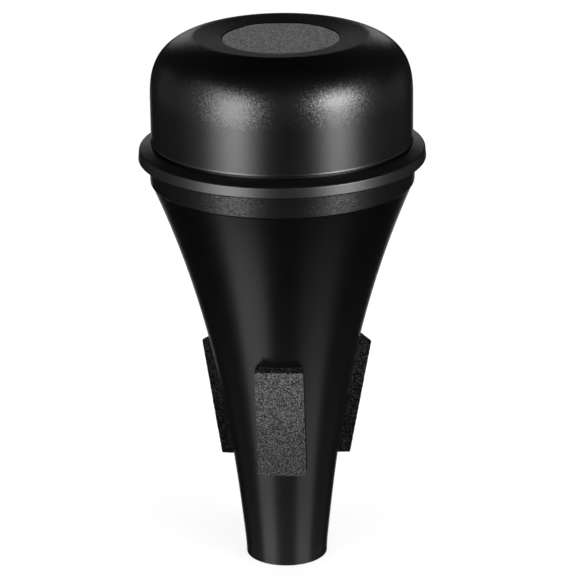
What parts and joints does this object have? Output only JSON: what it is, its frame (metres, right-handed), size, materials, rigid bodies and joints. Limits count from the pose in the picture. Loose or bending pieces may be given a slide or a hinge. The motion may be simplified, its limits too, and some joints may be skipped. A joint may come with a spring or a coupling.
{
  "type": "trumpet mute",
  "caption": "Flared straight mute for a trumpet: hollow cone open at its small end, collar ring, push-on domed cap with a textured inlay, and foam strips that wedge it in the bell.",
  "frame": {"origin": "on the mute's axis, at the face of the small open end that it stands on", "axes": "+Z along the axis towards the domed cap; -Y is the side with the front foam strip, seen by the camera; +X is to the camera's right"},
  "size_m": [0.0856, 0.0856, 0.1653],
  "materials": {
    "satin_abs": "satin black moulded ABS with a very fine sparkling grain",
    "smooth_ring": "smooth black, slightly glossier than the shell",
    "seal_rubber": "matte black",
    "pad_foam": "matte grey-black closed-cell foam with a coarse grain",
    "inlay": "matte grey, finely pebbled",
    "adhesive": "dull translucent grey film"
  },
  "bodies": {
    "mute_body": {"cone_body": "satin_abs", "bumper_ring": "smooth_ring", "cap_seal": "seal_rubber", "bell_pad_front": "pad_foam", "bell_pad_right": "pad_foam", "bell_pad_left": "pad_foam", "pad_tape_front": "adhesive", "pad_tape_right": "adhesive", "pad_tape_left": "adhesive"},
    "cap": {"end_cap": "satin_abs", "top_disc": "inlay", "disc_tape": "adhesive"}
  },
  "joints": [
    {"name": "cap_lift", "type": "slide", "parent": "mute_body", "child": "cap", "axis": [0, 0, 1], "range_m": [0, 0.04]}
  ]
}
